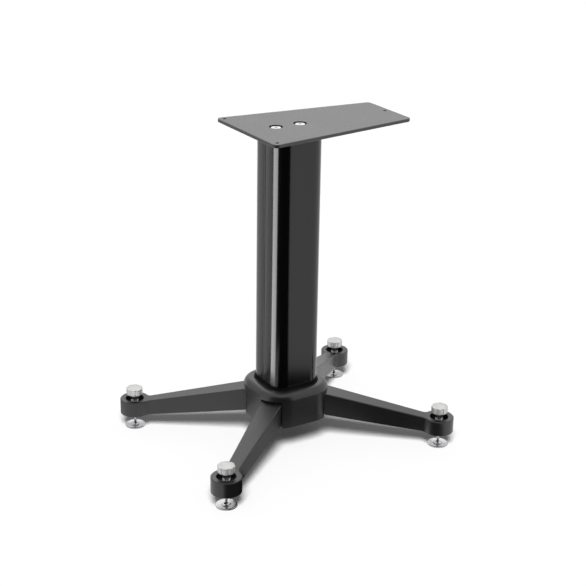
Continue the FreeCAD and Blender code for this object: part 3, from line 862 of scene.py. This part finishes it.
def add_stage(name, vertices, faces, material):
    """Thing of the studio that isn't part of the stand."""
    mesh = bpy.data.meshes.new(name)
    mesh.from_pydata(vertices, [], faces)
    thing = bpy.data.objects.new(name, mesh)
    bpy.context.scene.collection.objects.link(thing)
    finish(thing, material)
    return thing


def make_floor(studio):
    """Plain pale floor that keeps the stand's shadow."""
    material = bpy.data.materials.new("studio_floor")
    tree, output = emptied(material, "ShaderNodeOutputMaterial")
    matt = add_node(tree, "ShaderNodeBsdfDiffuse", {"Color": (*studio.floor, 1.0)})
    tree.links.new(matt.outputs["BSDF"], output.inputs["Surface"])
    half = FLOOR_SIZE / 2
    corners = [(x * half, y * half, 0.0) for x, y in SQUARE]
    add_stage("studio_floor", corners, [(0, 1, 2, 3)], material)


def card_material(name, strength, clear):
    """Light that a card gives off, added to what lies behind it where the card is clear."""
    material = bpy.data.materials.new(name)
    tree, output = emptied(material, "ShaderNodeOutputMaterial")
    behind = add_node(tree, "ShaderNodeBsdfTransparent", {"Color": (clear, clear, clear, 1.0)})
    glow = add_node(tree, "ShaderNodeEmission", {"Color": WHITE, "Strength": strength})
    both = add_node(tree, "ShaderNodeAddShader")
    tree.links.new(behind.outputs["BSDF"], both.inputs[0])
    tree.links.new(glow.outputs["Emission"], both.inputs[1])
    tree.links.new(both.outputs["Shader"], output.inputs["Surface"])
    return material


def add_card(name, vertices, faces, material):
    """Card that only reflections show."""
    card = add_stage(name, vertices, faces, material)
    card.visible_camera = False
    card.visible_diffuse = False
    card.visible_transmission = False
    card.visible_volume_scatter = False
    card.visible_shadow = False
    return card


def add_sweep(name, sweep, material):
    """Curved card along the floor from its inner to its outer radius, then up at its far end."""
    start, end, inner, outer, height = sweep
    vertices = []
    faces = []
    for step in range(CARD_STEPS + 1):
        outwards = direction(math.radians(start + (end - start) * step / CARD_STEPS))
        vertices.append(outwards * inner + Vector((0.0, 0.0, CARD_LIFT)))
        vertices.append(outwards * outer + Vector((0.0, 0.0, CARD_LIFT)))
        vertices.append(outwards * outer + Vector((0.0, 0.0, height)))
        if step:
            here = 3 * step
            faces.append((here - 3, here, here + 1, here - 2))
            faces.append((here - 2, here + 1, here + 2, here - 1))
    return add_card(name, vertices, faces, material)


def group_of(name, things):
    """Collection that lights can be linked to."""
    group = bpy.data.collections.new(name)
    for thing in things:
        group.objects.link(thing)
    return group


def make_key(studio):
    """Soft lamp whose shadow leaves out the plate and the column, as the photograph's does."""
    light = bpy.data.lights.new("key", "SUN")
    light.angle = studio.key_width
    light.energy = studio.key_light * math.pi / math.sin(studio.key_elevation)
    key = bpy.data.objects.new("key", light)
    towards = direction(studio.key_azimuth, studio.key_elevation)
    key.rotation_euler = towards.to_track_quat("Z", "Y").to_euler()
    key.visible_glossy = False
    bpy.context.scene.collection.objects.link(key)
    tall = (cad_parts["top_plate"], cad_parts["column"])
    low = [
        thing for thing in bpy.context.scene.objects
        if thing.type == "MESH" and thing not in tall and not thing.name.startswith("plate_bolt")
    ]
    key.light_linking.blocker_collection = group_of("low_pieces", low)


def make_cards(studio):
    """Bright, dark and shaded cards for the photographed reflections in the stand's faces."""
    bright = add_sweep(
        "bright_card", BRIGHT_CARD, card_material("bright_card", studio.bright_card, clear=1.0)
    )
    bright.light_linking.receiver_collection = group_of(
        "column_only", [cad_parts["column"]]
    )
    dark = card_material("dark_card", strength=0.0, clear=0.0)
    for name, sweep in DARK_CARDS:
        add_sweep(name, sweep, dark)
    below = card_material("shade_card_below", strength=0.0, clear=BELOW_CLEAR)
    add_sweep("shade_card_below", SHADE_CARD_BELOW, below)
    shade = card_material("shade_card", strength=0.0, clear=SHADE_CLEAR)
    for name, sweep in SHADE_CARDS:
        add_sweep(name, sweep, shade)
    towards = direction(OVERHEAD_AZIMUTH, OVERHEAD_ELEVATION)
    turn = towards.to_track_quat("Z", "Y").to_matrix()
    half = OVERHEAD_SIDE / 2
    corners = [
        turn @ Vector((x * half, y * half, 0.0)) + OVERHEAD_DISTANCE * towards for x, y in SQUARE
    ]
    overhead = card_material("overhead_card", studio.overhead_card, clear=0.0)
    add_card("overhead_card", corners, [(0, 1, 2, 3)], overhead)


def make_camera(scene, studio):
    """Camera at the photograph's viewing angle, found by fitting the stand's edges to it."""
    azimuth = studio.camera_azimuth
    roll = studio.camera_roll
    back = direction(azimuth, studio.camera_elevation)
    level_right = Vector((math.cos(azimuth), math.sin(azimuth), 0.0))
    level_up = back.cross(level_right)
    right = math.cos(roll) * level_right + math.sin(roll) * level_up
    up = math.cos(roll) * level_up - math.sin(roll) * level_right
    middle = Vector((0.0, 0.0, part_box("top_plate")[1].z / 2))
    aim = middle + studio.camera_aim_right * level_right + studio.camera_aim_up * level_up
    data = bpy.data.cameras.new("camera")
    data.sensor_width = SENSOR_WIDTH
    data.lens = studio.camera_focal_pixels * SENSOR_WIDTH / PHOTO_WIDTH
    camera = bpy.data.objects.new("camera", data)
    camera.matrix_world = Matrix.Translation(aim + studio.camera_distance * back) @ Matrix(
        (right, up, back)
    ).transposed().to_4x4()
    scene.collection.objects.link(camera)
    scene.camera = camera
    scene.view_settings.view_transform = "Standard"


# ---------------------------------------------------------------- panel and registration

PIECES = (
    STAND_OT_top_plate,
    STAND_OT_plate_bolts,
    STAND_OT_column,
    STAND_OT_castings,
    STAND_OT_seal,
    STAND_OT_fixings,
    STAND_OT_spindles,
    STAND_OT_knobs,
    STAND_OT_cups,
    STAND_OT_stage,
)


class STAND_PT_panel(bpy.types.Panel):
    """Buttons for the pieces of the stand"""

    bl_label = "Speaker Stand"
    bl_space_type = "VIEW_3D"
    bl_region_type = "UI"
    bl_category = "Stand"

    def draw(self, context):
        for piece in PIECES:
            self.layout.operator(piece.bl_idname)


CLASSES = (StandSizes, StandFinishes, StandStudio, *PIECES, STAND_PT_panel)


def register():
    for entry in CLASSES:
        bpy.utils.register_class(entry)
    bpy.types.Scene.stand_sizes = PointerProperty(type=StandSizes)
    bpy.types.Scene.stand_finishes = PointerProperty(type=StandFinishes)
    bpy.types.Scene.stand_studio = PointerProperty(type=StandStudio)


def unregister():
    del bpy.types.Scene.stand_studio
    del bpy.types.Scene.stand_finishes
    del bpy.types.Scene.stand_sizes
    for entry in reversed(CLASSES):
        bpy.utils.unregister_class(entry)


def main():
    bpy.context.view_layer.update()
    register()
    bpy.ops.stand.top_plate()
    bpy.ops.stand.plate_bolts()
    bpy.ops.stand.column()
    bpy.ops.stand.castings()
    bpy.ops.stand.seal()
    bpy.ops.stand.fixings()
    bpy.ops.stand.spindles()
    bpy.ops.stand.knobs()
    bpy.ops.stand.cups()
    bpy.ops.stand.stage()


if __name__ == "__main__":
    main()
